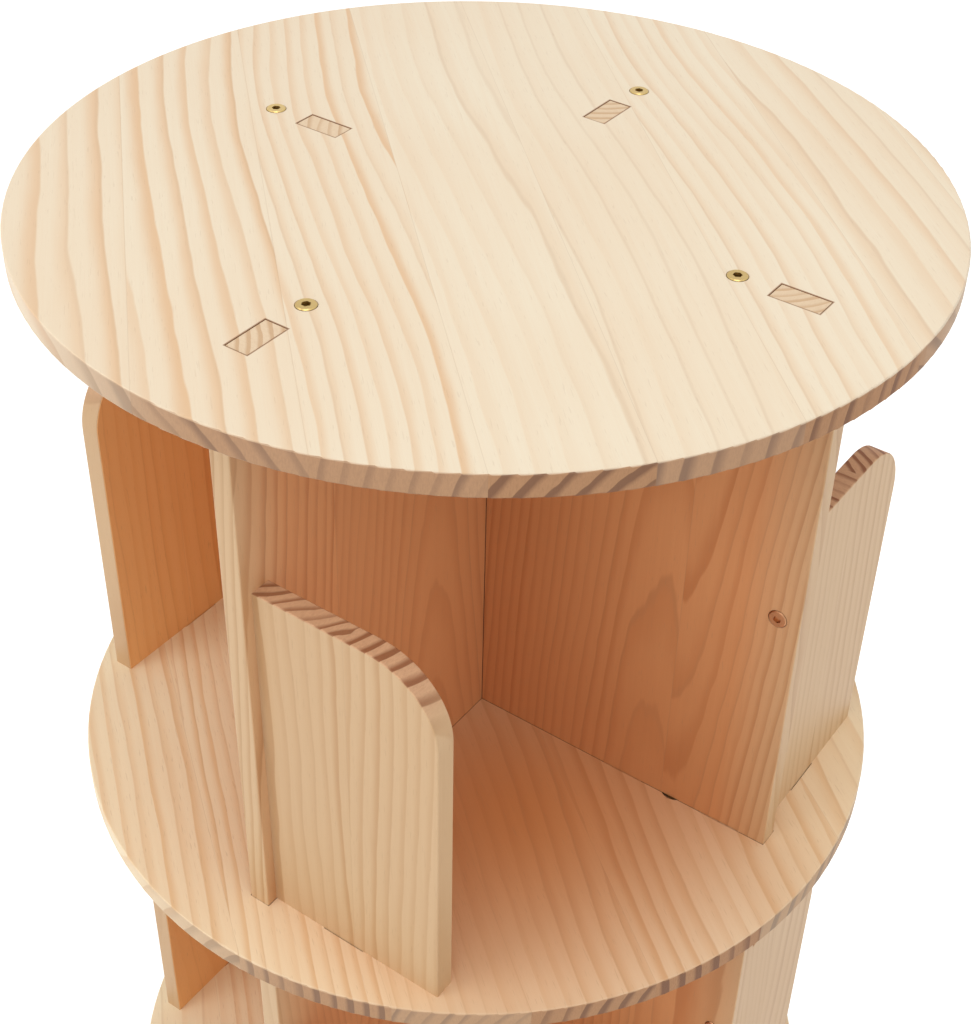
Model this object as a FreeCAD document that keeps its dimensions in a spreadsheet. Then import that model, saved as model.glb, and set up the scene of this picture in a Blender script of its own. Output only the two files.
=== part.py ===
import FreeCAD, Part
import os
import re

import Sketcher
from FreeCAD import Placement, Rotation, Vector

# Revolving bookcase in edge-glued pine, millimetres, +Z up.
# The origin is on the floor, on the axis that the case turns about.
# Each tier is two crossing boards halved into each other, with an arched book
# stop beside each of their four ends, and a round disc above and below.

doc = FreeCAD.newDocument("RevolvingBookcase")

# Driving dimensions, and a few that follow from them
SIZES = [
    ("disc_diameter", 460, "round shelves and top"),
    ("disc_thickness", 12, "round shelves and top"),
    ("disc_edge_rounding", 0.8, "both rims of a disc"),
    ("tier_height", 326, "clear height between two discs"),
    ("board_thickness", 12, "crossing boards"),
    ("board_inset", 33, "board ends inside the disc's rim"),
    ("board_span", "=disc_diameter - 2 * board_inset", "crossing boards, end to end"),
    ("board_edge_rounding", 0.8, "upright arrises at the board ends"),
    ("slot_clearance", 0.05, "each side of the halved joint"),
    ("tenon_length", 25, "along the board, crossing boards and arched panels"),
    ("tenon_recess", 0.2, "tenon end below the face it comes out of"),
    ("mortise_gap", 0.4, "all round a tenon"),
    ("bolt_inset", 60, "disc bolts from the board's end"),
    ("bolt_reach", "=board_span / 2 - bolt_inset", "disc bolts from the axis"),
    ("tenon_shift", 32, "tenon centre from its bolt, along the board"),
    ("panel_width", 106, "arched panel, from the board's face to its free edge"),
    ("panel_height", 213, "arched panel above the shelf"),
    ("panel_thickness", 12, "arched panel"),
    ("panel_corner_radius", 40, "upper free corner"),
    ("panel_edge_rounding", 0.8, "arrises of the arched panel"),
    ("panel_set_back", 6.5, "outer face of the arched panel from the board's end"),
    ("panel_tenon_reach", 45.5, "tenon centre from the board's face"),
    ("face_bolt_height", 160, "bolt through the board into the arched panel"),
    ("bolt_head_diameter", 10, "flat round head"),
    ("bolt_head_height", 2.2, "flat round head"),
    ("bolt_head_rounding", 0.5, "rim of the head"),
    ("bolt_head_proud", 0.6, "head above the top disc and above a board's face"),
    ("bolt_head_gap", 0.3, "counterbore beyond the head, on the radius"),
    ("bolt_collar_diameter", 6.6, "plain part under the head"),
    ("bolt_collar_length", 8.5, "plain part under the head"),
    ("bolt_collar_gap", 0.2, "hole beyond the collar, on the radius"),
    ("bolt_thread_diameter", 5, "outside of the thread"),
    ("bolt_thread_gap", 0.05, "pilot hole beyond the thread, on the radius"),
    ("bolt_length", 48, "under the head, to the tip"),
    ("bolt_tip_length", 3, "pointed end"),
    ("bolt_tip_room", 2, "pilot hole beyond the tip"),
    ("hex_width", 4, "socket across its flats"),
    ("hex_depth", 1.6, "socket"),
    ("shelf_counterbore_diameter", 16, "middle shelves, under the board above"),
    ("shelf_bolt_sink", 0.3, "head below the face in the middle and bottom discs"),
    ("race_radius", 130, "circle of the bearing balls"),
    ("ball_diameter", 5, "bearing balls"),
    ("ball_count", 24, "bearing balls"),
    ("ball_groove_gap", 0.05, "groove beyond the ball, on the radius"),
    ("ring_gap", 2, "between the two turntable rings"),
    ("ring_height", 8, "each turntable ring"),
    ("ring_rise", 1, "upper ring above the lower one"),
    ("ring_wall", 20, "radial width of each ring"),
    ("ring_edge_chamfer", 0.6, "outer arrises of the rings"),
    ("cage_thickness", 1, "ball cage band"),
    ("cage_height", 6.4, "ball cage band"),
    ("cage_pocket_gap", 0.15, "pocket beyond the ball, on the radius"),
    ("screw_head_diameter", 8, "countersunk screws"),
    ("screw_shank_diameter", 4, "countersunk screws"),
    ("screw_length", 16, "countersunk screws, over all"),
    ("screw_tip_length", 2, "countersunk screws"),
    ("screw_hole_gap", 0.2, "clearance hole beyond the shank, on the radius"),
    ("screw_pilot_gap", 0.05, "pilot hole beyond the shank, on the radius"),
    ("screw_tip_room", 0.5, "pilot hole beyond the tip"),
    ("screw_recess_width", 1.1, "cross recess, each arm"),
    ("screw_recess_span", 4.2, "cross recess, tip to tip"),
    ("screw_recess_depth", 1.3, "cross recess"),
    ("ring_screw_count", 6, "screws in each ring"),
    ("ring_screw_angle", 15, "first ring screw from +X, degrees"),
    ("base_inset", 30, "base disc inside the bottom disc's rim"),
    ("base_diameter", "=disc_diameter - 2 * base_inset", "fixed base disc"),
    ("base_thickness", 18, "fixed base disc"),
    ("base_edge_rounding", 2, "both rims of the base disc"),
    ("access_hole_diameter", 14, "driver hole below the upper ring's screws"),
    ("foot_count", 6, "rubber feet"),
    ("foot_inset", 25, "foot centres from the base disc's rim"),
    ("foot_circle_radius", "=base_diameter / 2 - foot_inset", "rubber feet"),
    ("foot_diameter", 32, "rubber feet"),
    ("foot_height", 6, "rubber feet"),
    ("foot_edge_rounding", 1.5, "lower rim of a foot"),
    ("foot_recess_diameter", 12, "screw recess in a foot"),
    ("foot_web", 3, "rubber left under the base, inside the recess"),
]

sheet = doc.addObject("Spreadsheet::Sheet", "Sizes")
for row, (alias, value, note) in enumerate(SIZES, start=1):
    sheet.set("A%d" % row, note)
    sheet.set("B%d" % row, str(value))
    sheet.setAlias("B%d" % row, alias)
doc.recompute()

NAMES = [alias for alias, value, note in SIZES]
TIERS = ("lower_tier", "middle_tier", "upper_tier")
SIDES = ("right", "back", "left", "front")
QUARTER = 90
SAME_WITHIN = 0.0001


def named(text):
    """The expression with each size name pointed at the sheet."""
    return re.sub(r"[a-z_]+", lambda word: pointed(word.group()), text)


def pointed(word):
    return "Sizes." + word if word in NAMES else word


def number(text):
    """The value of an expression in the sheet's sizes."""
    result = sheet.evalExpression(named(text))
    return float(getattr(result, "Value", result))


# Levels, as expressions in the sheet's sizes
BASE_TOP = "(foot_height + base_thickness)"
BOTTOM_DISC = "(foot_height + base_thickness + ring_height + ring_rise)"


def disc_level(index):
    """Underside of a disc, counted up from the bottom one."""
    return "(%s + %d * (disc_thickness + tier_height))" % (BOTTOM_DISC, index)


def shelf_level(index):
    """Face that the boards of a tier stand on."""
    return "(%s + disc_thickness)" % disc_level(index)


# Helpers for bodies and sketches
def new_body(label):
    body = doc.addObject("PartDesign::Body", label)
    body.Label = label
    return body


def origin_feature(body, role):
    return [item for item in body.Origin.OriginFeatures if item.Role == role][0]


def new_sketch(body, role, offset="0"):
    """A sketch on one of the body's own planes, moved along its normal."""
    sketch = body.newObject("Sketcher::SketchObject", "Sketch")
    sketch.AttachmentSupport = [(origin_feature(body, role), "")]
    sketch.MapMode = "FlatFace"
    if offset != "0":
        sketch.setExpression("AttachmentOffset.Base.z", named(offset))
    return sketch


def locate(sketch, element, point, kind, text):
    """Tie one coordinate of a sketch point to an expression."""
    axis = -2 if kind == "DistanceX" else -1
    if text == "0":
        sketch.addConstraint(Sketcher.Constraint("PointOnObject", element, point, axis))
        return
    size = number(text)
    if size > 0:
        rule = Sketcher.Constraint(kind, -1, 1, element, point, size)
        bound = named(text)
    else:
        rule = Sketcher.Constraint(kind, element, point, -1, 1, -size)
        bound = named("-(%s)" % text)
    index = sketch.addConstraint(rule)
    sketch.setExpression("Constraints[%d]" % index, bound)


def outline(sketch, corners):
    """A closed outline through corners given as pairs of expressions."""
    points = [Vector(number(x), number(y), 0) for x, y in corners]
    first = sketch.GeometryCount
    count = len(points)
    for index in range(count):
        line = Part.LineSegment(points[index], points[(index + 1) % count])
        sketch.addGeometry(line, False)
    for index in range(count):
        after = first + (index + 1) % count
        joint = Sketcher.Constraint("Coincident", first + index, 2, after, 1)
        sketch.addConstraint(joint)
    for index, (x, y) in enumerate(corners):
        locate(sketch, first + index, 1, "DistanceX", x)
        locate(sketch, first + index, 1, "DistanceY", y)


def rectangle(sketch, x, y, width, depth):
    """A rectangle about a centre, all four given as expressions."""
    left = "%s - (%s) / 2" % (x, width)
    right = "%s + (%s) / 2" % (x, width)
    front = "%s - (%s) / 2" % (y, depth)
    back = "%s + (%s) / 2" % (y, depth)
    outline(sketch, [(left, front), (right, front), (right, back), (left, back)])


def circle(sketch, x, y, diameter):
    """A circle about a centre, all three given as expressions."""
    centre = Vector(number(x), number(y), 0)
    shape = Part.Circle(centre, Vector(0, 0, 1), number(diameter) / 2)
    index = sketch.addGeometry(shape, False)
    locate(sketch, index, 3, "DistanceX", x)
    locate(sketch, index, 3, "DistanceY", y)
    rule = sketch.addConstraint(Sketcher.Constraint("Diameter", index, number(diameter)))
    sketch.setExpression("Constraints[%d]" % rule, named(diameter))


def pad(body, sketch, length, both_ways=False, reverse=False):
    feature = body.newObject("PartDesign::Pad", "Pad")
    feature.Profile = sketch
    feature.setExpression("Length", named(length))
    if both_ways:
        feature.SideType = "Symmetric"
    feature.Reversed = reverse
    doc.recompute()
    return feature


def cut(body, sketch, depth="0", reverse=False):
    """A pocket of a given depth, or right through both ways for none."""
    before = body.Tip.Shape.Volume
    feature = body.newObject("PartDesign::Pocket", "Pocket")
    feature.Profile = sketch
    if depth == "0":
        feature.SideType = "Symmetric"
        feature.Type = "ThroughAll"
    else:
        feature.setExpression("Length", named(depth))
        feature.Reversed = reverse
    doc.recompute()
    if feature.Shape.Volume >= before:
        raise ValueError("a pocket in %s cuts nothing" % body.Label)
    return feature


def turn(body, sketch):
    """A full revolution of a sketch about the body's upright axis."""
    feature = body.newObject("PartDesign::Revolution", "Revolution")
    feature.Profile = sketch
    feature.ReferenceAxis = (origin_feature(body, "Z_Axis"), [""])
    feature.Angle = 360
    doc.recompute()
    return feature


def groove(body, sketch):
    before = body.Tip.Shape.Volume
    feature = body.newObject("PartDesign::Groove", "Groove")
    feature.Profile = sketch
    feature.ReferenceAxis = (origin_feature(body, "Z_Axis"), [""])
    feature.Angle = 360
    doc.recompute()
    if feature.Shape.Volume >= before:
        raise ValueError("a groove in %s cuts nothing" % body.Label)
    return feature


def polar(body, feature, count, angle=360, reverse=False):
    """Copies of a feature round the body's upright axis."""
    before = body.Tip.Shape.Volume
    pattern = body.newObject("PartDesign::PolarPattern", "PolarPattern")
    pattern.Originals = [feature]
    pattern.Axis = (origin_feature(body, "Z_Axis"), [""])
    pattern.Angle = angle
    if isinstance(count, str):
        pattern.setExpression("Occurrences", named(count))
    else:
        pattern.Occurrences = count
    pattern.Reversed = reverse
    body.Tip = pattern
    doc.recompute()
    if pattern.Shape.Volume >= before:
        raise ValueError("a pattern in %s cuts nothing" % body.Label)
    return pattern


def soften(body, kind, wanted, size):
    """Fillet or chamfer the edges of the tip that pass a test."""
    base = body.Tip
    names = []
    for index, edge in enumerate(base.Shape.Edges, start=1):
        if wanted(edge):
            names.append("Edge%d" % index)
    feature = body.newObject("PartDesign::" + kind, kind)
    feature.Base = (base, names)
    feature.setExpression("Radius" if kind == "Fillet" else "Size", named(size))
    doc.recompute()
    return feature


def near(value, target):
    return abs(value - target) < SAME_WITHIN


def round_edge(edge, radius):
    """Whether an edge is a circle of the given radius."""
    curve = edge.Curve
    return isinstance(curve, Part.Circle) and near(curve.Radius, radius)


def level_of(edge):
    return edge.CenterOfMass.z


def place(item, x="0", y="0", z="0", angle=0):
    """Set the turn of a piece about Z and bind its position."""
    item.Placement = Placement(Vector(0, 0, 0), Rotation(Vector(0, 0, 1), angle))
    for axis, text in (("x", x), ("y", y), ("z", z)):
        if text != "0":
            item.setExpression("Placement.Base." + axis, named(text))


SUBPARTS = []


def keep(item):
    SUBPARTS.append(item)
    return item


def group(label, source, places):
    """Separate copies of one solid at several places, as one set."""
    copies = []
    for spot in places:
        copy = source.Shape.copy()
        copy.Placement = spot.multiply(source.Shape.Placement)
        copies.append(copy)
    item = doc.addObject("Part::Feature", label)
    item.Label = label
    item.Shape = Part.makeCompound(copies)
    return keep(item)


# Bolts and screws
def bolt():
    """Connector bolt with a flat round head, its bearing face at zero."""
    body = new_body("connector_bolt")
    profile = new_sketch(body, "XZ_Plane")
    head = "bolt_head_diameter / 2"
    collar = "bolt_collar_diameter / 2"
    thread = "bolt_thread_diameter / 2"
    outline(profile, [
        ("0", "bolt_head_height"),
        (head + " - bolt_head_rounding", "bolt_head_height"),
        (head, "bolt_head_height - bolt_head_rounding"),
        (head, "0"),
        (collar, "0"),
        (collar, "-bolt_collar_length"),
        (thread, "-bolt_collar_length"),
        (thread, "-(bolt_length - bolt_tip_length)"),
        ("0", "-bolt_length"),
    ])
    turn(body, profile)
    socket = new_sketch(body, "XY_Plane", "bolt_head_height")
    hexagon(socket)
    cut(body, socket, "hex_depth")
    return body


def hexagon(sketch):
    """A hexagon about the origin, two of its flats square to X."""
    flat = "hex_width / 2"
    point = "hex_width / sqrt(3)"
    half = "hex_width / sqrt(3) / 2"
    outline(sketch, [
        (flat, "-(%s)" % half),
        (flat, half),
        ("0", point),
        ("-(%s)" % flat, half),
        ("-(%s)" % flat, "-(%s)" % half),
        ("0", "-(%s)" % point),
    ])


def screw():
    """Countersunk screw, its head's flat face at zero and its tip down."""
    body = new_body("countersunk_screw")
    profile = new_sketch(body, "XZ_Plane")
    head = "screw_head_diameter / 2"
    shank = "screw_shank_diameter / 2"
    outline(profile, [
        ("0", "0"),
        (head, "0"),
        (shank, "-(screw_head_diameter - screw_shank_diameter) / 2"),
        (shank, "-(screw_length - screw_tip_length)"),
        ("0", "-screw_length"),
    ])
    turn(body, profile)
    for width, depth in (("screw_recess_span", "screw_recess_width"),
                         ("screw_recess_width", "screw_recess_span")):
        arm = new_sketch(body, "XY_Plane")
        rectangle(arm, "0", "0", width, depth)
        cut(body, arm, "screw_recess_depth")
    return body


# Round discs
def mortise(body, x, y, along_x=True):
    """A through mortise for one tenon."""
    long_way = "tenon_length + 2 * mortise_gap"
    short_way = "board_thickness + 2 * mortise_gap"
    sketch = new_sketch(body, "XY_Plane")
    if along_x:
        rectangle(sketch, x, y, long_way, short_way)
    else:
        rectangle(sketch, x, y, short_way, long_way)
    return cut(body, sketch)


def tenon_mortises(body, far_side):
    """Four mortises for the crossing boards, the outer one on +X or -X."""
    outer = "%s(bolt_reach + tenon_shift)" % far_side
    inner_side = "-" if far_side == "" else ""
    inner = "%s(bolt_reach - tenon_shift)" % inner_side
    polar(body, mortise(body, outer, "0"), 2, QUARTER, reverse=True)
    polar(body, mortise(body, inner, "0"), 2, QUARTER, reverse=True)


def panel_centre():
    """Distance of an arched panel's middle plane from the axis."""
    return "(board_span / 2 - panel_set_back - panel_thickness / 2)"


def panel_mortises(body):
    along = "(board_thickness / 2 + panel_tenon_reach)"
    first = mortise(body, panel_centre(), along, along_x=False)
    polar(body, first, 4)


def bolt_holes(body, from_above, counterbore, sink):
    """Four counterbored holes for the bolts into the board edges."""
    through = new_sketch(body, "XY_Plane")
    circle(through, "bolt_reach", "0", "bolt_collar_diameter + 2 * bolt_collar_gap")
    polar(body, cut(body, through), 4)
    seat = new_sketch(body, "XY_Plane", "disc_thickness" if from_above else "0")
    circle(seat, "bolt_reach", "0", counterbore)
    polar(body, cut(body, seat, sink, reverse=not from_above), 4)


def round_rims(body, diameter, size):
    radius = number(diameter) / 2
    soften(body, "Fillet", lambda edge: round_edge(edge, radius), size)


def blank_disc(label, diameter, thickness, rounding):
    body = new_body(label)
    sketch = new_sketch(body, "XY_Plane")
    circle(sketch, "0", "0", diameter)
    pad(body, sketch, thickness)
    round_rims(body, diameter, rounding)
    return body


HEAD_BORE = "bolt_head_diameter + 2 * bolt_head_gap"
PROUD_SEAT = "bolt_head_height - bolt_head_proud"
SUNK_SEAT = "bolt_head_height + shelf_bolt_sink"


def round_disc(label, index):
    """One disc: tenons of the tier below and of the tier above meet in it."""
    top = len(TIERS)
    body = blank_disc(label, "disc_diameter", "disc_thickness", "disc_edge_rounding")
    if index > 0:
        tenon_mortises(body, "")
    if index < top:
        tenon_mortises(body, "-")
        panel_mortises(body)
    if index == top:
        bolt_holes(body, True, HEAD_BORE, PROUD_SEAT)
    elif index > 0:
        bolt_holes(body, True, "shelf_counterbore_diameter", SUNK_SEAT)
    else:
        bolt_holes(body, False, HEAD_BORE, SUNK_SEAT)
        ring_pilots(body)
    place(body, z=disc_level(index))
    return keep(body)


def ring_pilots(body):
    """Blind pilot holes in the underside for the upper ring's screws."""
    sketch = new_sketch(body, "XY_Plane")
    x, y = ring_screw_spot("upper")
    circle(sketch, x, y, "screw_shank_diameter + 2 * screw_pilot_gap")
    depth = "screw_length - ring_height + screw_tip_room"
    polar(body, cut(body, sketch, depth, reverse=True), "ring_screw_count")


# Crossing boards
def board_outline(slot_on_top):
    """Edge of a crossing board seen square on, its middle at zero."""
    end = "board_span / 2"
    foot = "-(disc_thickness - tenon_recess)"
    head = "(tier_height + disc_thickness - tenon_recess)"
    half_slot = "(board_thickness / 2 + slot_clearance)"
    half_tenon = "tenon_length / 2"
    middle = "(tier_height / 2 %s slot_clearance)" % ("-" if slot_on_top else "+")

    def bump(centre, level, tip, step):
        first = "%s %s %s" % (centre, "-" if step > 0 else "+", half_tenon)
        last = "%s %s %s" % (centre, "+" if step > 0 else "-", half_tenon)
        return [(first, level), (first, tip), (last, tip), (last, level)]

    def slot(level, step):
        first = ("-" if step > 0 else "") + half_slot
        last = ("" if step > 0 else "-") + half_slot
        return [(first, level), (first, middle), (last, middle), (last, level)]

    corners = [("-(%s)" % end, "0")]
    corners += bump("-(bolt_reach + tenon_shift)", "0", foot, 1)
    if not slot_on_top:
        corners += slot("0", 1)
    corners += bump("(bolt_reach - tenon_shift)", "0", foot, 1)
    corners += [(end, "0"), (end, "tier_height")]
    corners += bump("(bolt_reach + tenon_shift)", "tier_height", head, -1)
    if slot_on_top:
        corners += slot("tier_height", -1)
    corners += bump("-(bolt_reach - tenon_shift)", "tier_height", head, -1)
    corners += [("-(%s)" % end, "tier_height")]
    return corners


def edge_pilots(body, on_top):
    """Pilot holes in the board's edge for the disc bolts."""
    seat = PROUD_SEAT if on_top else SUNK_SEAT
    in_disc = "(disc_thickness - (%s))" % seat
    depth = "bolt_length - %s + bolt_tip_room" % in_disc
    sketch = new_sketch(body, "XY_Plane", "tier_height" if on_top else "0")
    circle(sketch, "bolt_reach", "0", "bolt_thread_diameter + 2 * bolt_thread_gap")
    polar(body, cut(body, sketch, depth, reverse=not on_top), 2)


def crossing_board(label, index, slot_on_top, angle):
    body = new_body(label)
    sketch = new_sketch(body, "XZ_Plane")
    outline(sketch, board_outline(slot_on_top))
    pad(body, sketch, "board_thickness", both_ways=True)
    end = number("board_span / 2")

    def at_end(edge):
        upright = near(edge.BoundBox.XLength, 0) and near(edge.BoundBox.YLength, 0)
        return upright and near(abs(edge.CenterOfMass.x), end)

    soften(body, "Fillet", at_end, "board_edge_rounding")
    edge_pilots(body, True)
    if index == 0:
        edge_pilots(body, False)
    through = new_sketch(body, "XZ_Plane", "board_thickness / 2")
    circle(through, panel_centre(), "face_bolt_height",
           "bolt_collar_diameter + 2 * bolt_collar_gap")
    polar(body, cut(body, through, "board_thickness"), 2, 360)
    seat = new_sketch(body, "XZ_Plane", "board_thickness / 2")
    circle(seat, panel_centre(), "face_bolt_height", HEAD_BORE)
    polar(body, cut(body, seat, PROUD_SEAT), 2, 360)
    place(body, z=shelf_level(index), angle=angle)
    return keep(body)


# Arched panels
def arched_panel(label, index, side):
    """Book stop with one rounded upper corner and one tenon below."""
    body = new_body(label)
    sketch = new_sketch(body, "YZ_Plane")
    inner = "board_thickness / 2"
    outer = "(board_thickness / 2 + panel_width)"
    foot = "-(disc_thickness - tenon_recess)"
    near_cheek = "(board_thickness / 2 + panel_tenon_reach - tenon_length / 2)"
    far_cheek = "(board_thickness / 2 + panel_tenon_reach + tenon_length / 2)"
    outline(sketch, [
        (inner, "0"),
        (near_cheek, "0"),
        (near_cheek, foot),
        (far_cheek, foot),
        (far_cheek, "0"),
        (outer, "0"),
        (outer, "panel_height"),
        (inner, "panel_height"),
    ])
    pad(body, sketch, "panel_thickness", both_ways=True)
    free_edge = number(outer)
    height = number("panel_height")
    wall = number(inner)

    def upper_corner(edge):
        middle = edge.CenterOfMass
        return near(middle.y, free_edge) and near(middle.z, height)

    def rim(edge):
        middle = edge.CenterOfMass
        along_face = near(edge.BoundBox.XLength, 0)
        return along_face and middle.z > 0 and not near(middle.y, wall)

    soften(body, "Fillet", upper_corner, "panel_corner_radius")
    soften(body, "Fillet", rim, "panel_edge_rounding")
    pilot = new_sketch(body, "XZ_Plane", "-board_thickness / 2")
    circle(pilot, "0", "face_bolt_height", "bolt_thread_diameter + 2 * bolt_thread_gap")
    in_board = "(board_thickness - (%s))" % PROUD_SEAT
    cut(body, pilot, "bolt_length - %s + bolt_tip_room" % in_board)
    angle = SIDES.index(side) * QUARTER
    turned = Rotation(Vector(0, 0, 1), angle).multVec(Vector(1, 0, 0))
    x = "%d * %s" % (round(turned.x), panel_centre()) if round(turned.x) else "0"
    y = "%d * %s" % (round(turned.y), panel_centre()) if round(turned.y) else "0"
    place(body, x, y, shelf_level(index), angle)
    return keep(body)


# Places of the fasteners
def turned_places(count, radius, z, start=0, flip=False):
    """Equal places on a circle, pointing down or, flipped, up."""
    spots = []
    for step in range(count):
        angle = start + 360 * step / count
        spin = Rotation(Vector(0, 0, 1), angle)
        spot = spin.multVec(Vector(radius, 0, 0)) + Vector(0, 0, z)
        tilt = Rotation(Vector(1, 0, 0), 180) if flip else Rotation()
        spots.append(Placement(spot, spin.multiply(tilt)))
    return spots


def face_bolt_places(index):
    """Heads on the clockwise face of each board end, tips towards the panels."""
    reach = number(panel_centre())
    bearing = number("board_thickness / 2 - (%s)" % PROUD_SEAT)
    height = number(shelf_level(index) + " + face_bolt_height")
    spots = []
    for step in range(len(SIDES)):
        spin = Rotation(Vector(0, 0, 1), step * QUARTER)
        spot = spin.multVec(Vector(reach, -bearing, height))
        spots.append(Placement(spot, spin.multiply(Rotation(Vector(1, 0, 0), QUARTER))))
    return spots


def disc_bolts(label, source, index):
    """The four bolts of one disc."""
    reach = number("bolt_reach")
    if index == 0:
        level = number(disc_level(index) + " + " + SUNK_SEAT)
        return group(label, source, turned_places(4, reach, level, flip=True))
    seat = PROUD_SEAT if index == len(TIERS) else SUNK_SEAT
    level = number("%s + disc_thickness - (%s)" % (disc_level(index), seat))
    return group(label, source, turned_places(4, reach, level))


# Turntable
def ring_screw_spot(which):
    """Place of a ring's first screw, as a pair of expressions."""
    side = "-" if which == "upper" else "+"
    radius = "(race_radius %s (ring_gap / 2 + ring_wall / 2))" % side
    return (radius + " * cos(ring_screw_angle)", radius + " * sin(ring_screw_angle)")


def turntable_ring(label, which):
    """A flat ring with half of the ball race in its rim."""
    body = new_body(label)
    sketch = new_sketch(body, "XZ_Plane")
    if which == "upper":
        inner = "race_radius - ring_gap / 2 - ring_wall"
        outer = "race_radius - ring_gap / 2"
        low = "ring_rise"
        high = "ring_rise + ring_height"
        flush = low
    else:
        inner = "race_radius + ring_gap / 2"
        outer = "race_radius + ring_gap / 2 + ring_wall"
        low = "0"
        high = "ring_height"
        flush = high
    outline(sketch, [(inner, low), (outer, low), (outer, high), (inner, high)])
    turn(body, sketch)
    race = new_sketch(body, "XZ_Plane")
    circle(race, "race_radius", "(ring_height + ring_rise) / 2",
           "ball_diameter + 2 * ball_groove_gap")
    groove(body, race)
    hole = new_sketch(body, "XY_Plane")
    x, y = ring_screw_spot(which)
    bore = "screw_shank_diameter + 2 * screw_hole_gap"
    circle(hole, x, y, bore)
    polar(body, cut(body, hole), "ring_screw_count")
    bore_radius = number(bore) / 2
    face = number(flush)

    def countersink(edge):
        return round_edge(edge, bore_radius) and near(level_of(edge), face)

    soften(body, "Chamfer", countersink,
           "(screw_head_diameter - screw_shank_diameter) / 2")
    rim = number(inner) if which == "upper" else number(outer)
    soften(body, "Chamfer", lambda edge: round_edge(edge, rim), "ring_edge_chamfer")
    place(body, z=BASE_TOP)
    return keep(body)


def ball_cage():
    """A thin band between the rings with a pocket for each ball."""
    body = new_body("turntable_ball_cage")
    band = new_sketch(body, "XY_Plane", "(ring_height + ring_rise - cage_height) / 2")
    circle(band, "0", "0", "2 * race_radius + cage_thickness")
    circle(band, "0", "0", "2 * race_radius - cage_thickness")
    pad(body, band, "cage_height")
    pocket = new_sketch(body, "YZ_Plane", "race_radius - cage_thickness")
    circle(pocket, "0", "(ring_height + ring_rise) / 2",
           "ball_diameter + 2 * cage_pocket_gap")
    first = cut(body, pocket, "2 * cage_thickness", reverse=True)
    polar(body, first, "ball_count")
    place(body, z=BASE_TOP)
    return keep(body)


def ball_set():
    ball = doc.addObject("Part::Sphere", "bearing_ball")
    ball.setExpression("Radius", named("ball_diameter / 2"))
    doc.recompute()
    level = number(BASE_TOP + " + (ring_height + ring_rise) / 2")
    count = int(number("ball_count"))
    places = turned_places(count, number("race_radius"), level)
    return group("turntable_balls", ball, places)


# Base
def base_disc():
    body = blank_disc("base_disc", "base_diameter", "base_thickness", "base_edge_rounding")
    x, y = ring_screw_spot("upper")
    access = new_sketch(body, "XY_Plane")
    circle(access, x, y, "access_hole_diameter")
    cut(body, access)
    x, y = ring_screw_spot("lower")
    pilot = new_sketch(body, "XY_Plane", "base_thickness")
    circle(pilot, x, y, "screw_shank_diameter + 2 * screw_pilot_gap")
    depth = "screw_length - ring_height + screw_tip_room"
    polar(body, cut(body, pilot, depth), "ring_screw_count")
    foot = new_sketch(body, "XY_Plane")
    circle(foot, "foot_circle_radius", "0", "screw_shank_diameter + 2 * screw_pilot_gap")
    depth = "screw_length - foot_web + screw_tip_room"
    polar(body, cut(body, foot, depth, reverse=True), "foot_count")
    place(body, z="foot_height")
    return keep(body)


def rubber_foot():
    """A round foot with a recess below for its countersunk screw."""
    body = new_body("rubber_foot")
    sketch = new_sketch(body, "XY_Plane")
    circle(sketch, "0", "0", "foot_diameter")
    pad(body, sketch, "foot_height")
    recess = new_sketch(body, "XY_Plane")
    circle(recess, "0", "0", "foot_recess_diameter")
    cut(body, recess, "foot_height - foot_web", reverse=True)
    bore = "screw_shank_diameter + 2 * screw_hole_gap"
    hole = new_sketch(body, "XY_Plane")
    circle(hole, "0", "0", bore)
    cut(body, hole)
    bore_radius = number(bore) / 2
    rim_radius = number("foot_diameter / 2")
    web_face = number("foot_height - foot_web")

    def countersink(edge):
        return round_edge(edge, bore_radius) and near(level_of(edge), web_face)

    def lower_rim(edge):
        return round_edge(edge, rim_radius) and near(level_of(edge), 0)

    soften(body, "Chamfer", countersink,
           "(screw_head_diameter - screw_shank_diameter) / 2")
    soften(body, "Fillet", lower_rim, "foot_edge_rounding")
    return body


# The model
connector = bolt()
small_screw = screw()
foot = rubber_foot()

DISCS = ("bottom_disc", "lower_shelf_disc", "upper_shelf_disc", "top_disc")
for index, label in enumerate(DISCS):
    round_disc(label, index)
    disc_bolts(label + "_bolts", connector, index)

for index, tier in enumerate(TIERS):
    crossing_board(tier + "_board_slot_down", index, False, 0)
    crossing_board(tier + "_board_slot_up", index, True, -QUARTER)
    for side in SIDES:
        arched_panel("%s_arched_panel_%s" % (tier, side), index, side)
    group(tier + "_face_bolts", connector, face_bolt_places(index))

turntable_ring("turntable_upper_ring", "upper")
turntable_ring("turntable_lower_ring", "lower")
ball_cage()
ball_set()

screws = int(number("ring_screw_count"))
start = number("ring_screw_angle")
upper_circle = number("race_radius - ring_gap / 2 - ring_wall / 2")
lower_circle = number("race_radius + ring_gap / 2 + ring_wall / 2")
upper_face = number(BASE_TOP + " + ring_rise")
lower_face = number(BASE_TOP + " + ring_height")
group("upper_ring_screws", small_screw,
      turned_places(screws, upper_circle, upper_face, start, flip=True))
group("lower_ring_screws", small_screw,
      turned_places(screws, lower_circle, lower_face, start))

base_disc()
feet = int(number("foot_count"))
foot_circle = number("foot_circle_radius")
group("base_feet", foot, turned_places(feet, foot_circle, 0))
group("foot_screws", small_screw,
      turned_places(feet, foot_circle, number("foot_height - foot_web"), flip=True))

doc.recompute()

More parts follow.
